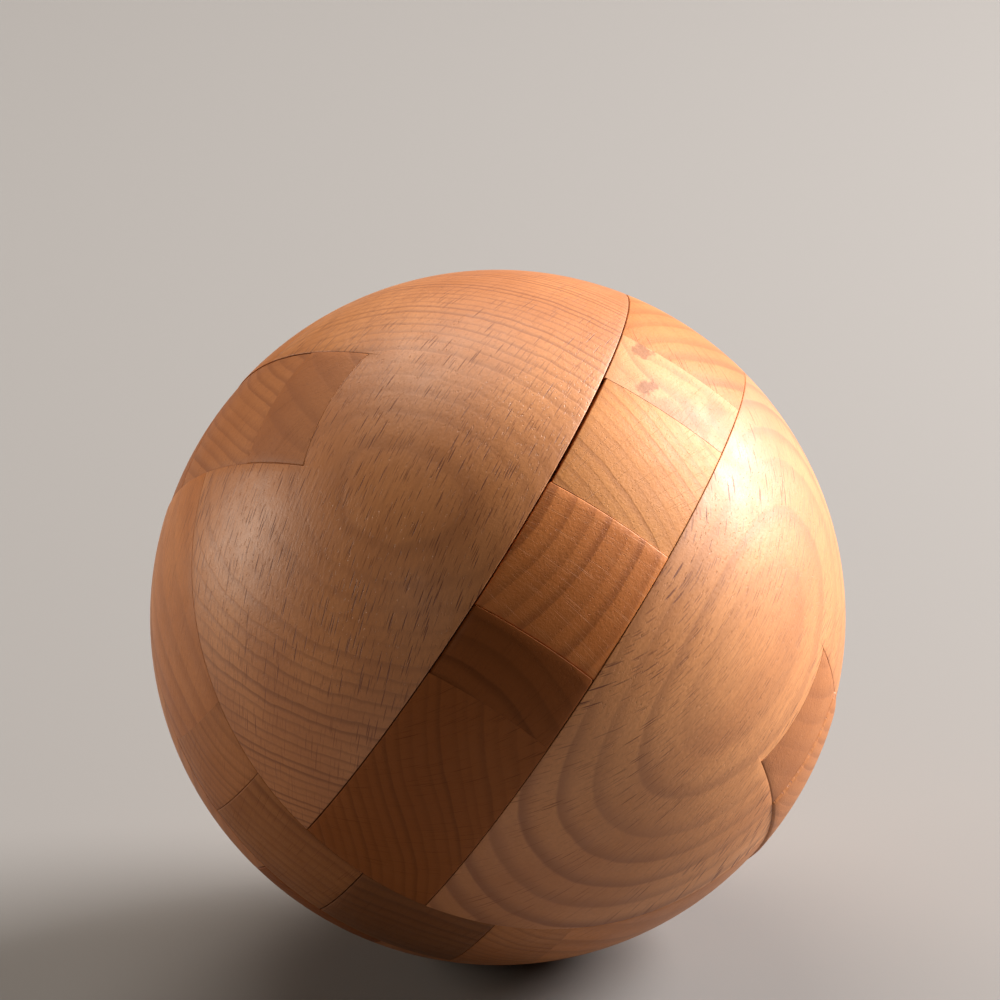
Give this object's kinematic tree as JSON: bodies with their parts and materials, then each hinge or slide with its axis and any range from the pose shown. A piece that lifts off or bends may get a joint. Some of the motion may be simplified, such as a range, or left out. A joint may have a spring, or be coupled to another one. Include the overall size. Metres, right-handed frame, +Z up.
{
  "type": "interlocking wooden puzzle ball",
  "caption": "Solid turned wooden ball that comes apart: crossing square sticks, laths and shaped outer pieces lock together until one plain stick slides out.",
  "frame": {"origin": "the point that the ball stands on, straight below its centre", "axes": "+Z up, through the corner of the burr that stands on top; the shown end of the key leans up and to the front, towards -Y; the x and y sticks lie symmetrically about the YZ plane"},
  "size_m": [0.07, 0.07, 0.07],
  "materials": {
    "key_wood": "satin",
    "stick_wood": "satin",
    "lath_wood": "satin",
    "block_wood": "satin",
    "bar_wood": "satin"
  },
  "bodies": {
    "ball": {"locked_stick": "stick_wood", "x_stick_lower": "stick_wood", "x_stick_upper": "stick_wood", "y_stick_left": "stick_wood", "y_stick_right": "stick_wood", "x_lath_lower": "lath_wood", "x_lath_upper": "lath_wood", "y_lath_left": "lath_wood", "y_lath_right": "lath_wood", "z_lath_front": "lath_wood", "z_lath_back": "lath_wood", "z_block_front_lower": "block_wood", "z_block_front_upper": "block_wood", "z_block_back_lower": "block_wood", "z_block_back_upper": "block_wood", "y_block_left_front": "block_wood", "y_block_left_back": "block_wood", "y_block_right_front": "block_wood", "y_block_right_back": "block_wood", "bar_left_lower": "bar_wood", "bar_left_upper": "bar_wood", "bar_right_lower": "bar_wood", "bar_right_upper": "bar_wood"},
    "key": {"key_stick": "key_wood"}
  },
  "joints": [
    {"name": "key_slide", "type": "slide", "parent": "ball", "child": "key", "axis": [0, -0.8165, 0.5774], "range_m": [-0.008, 0.07]}
  ]
}
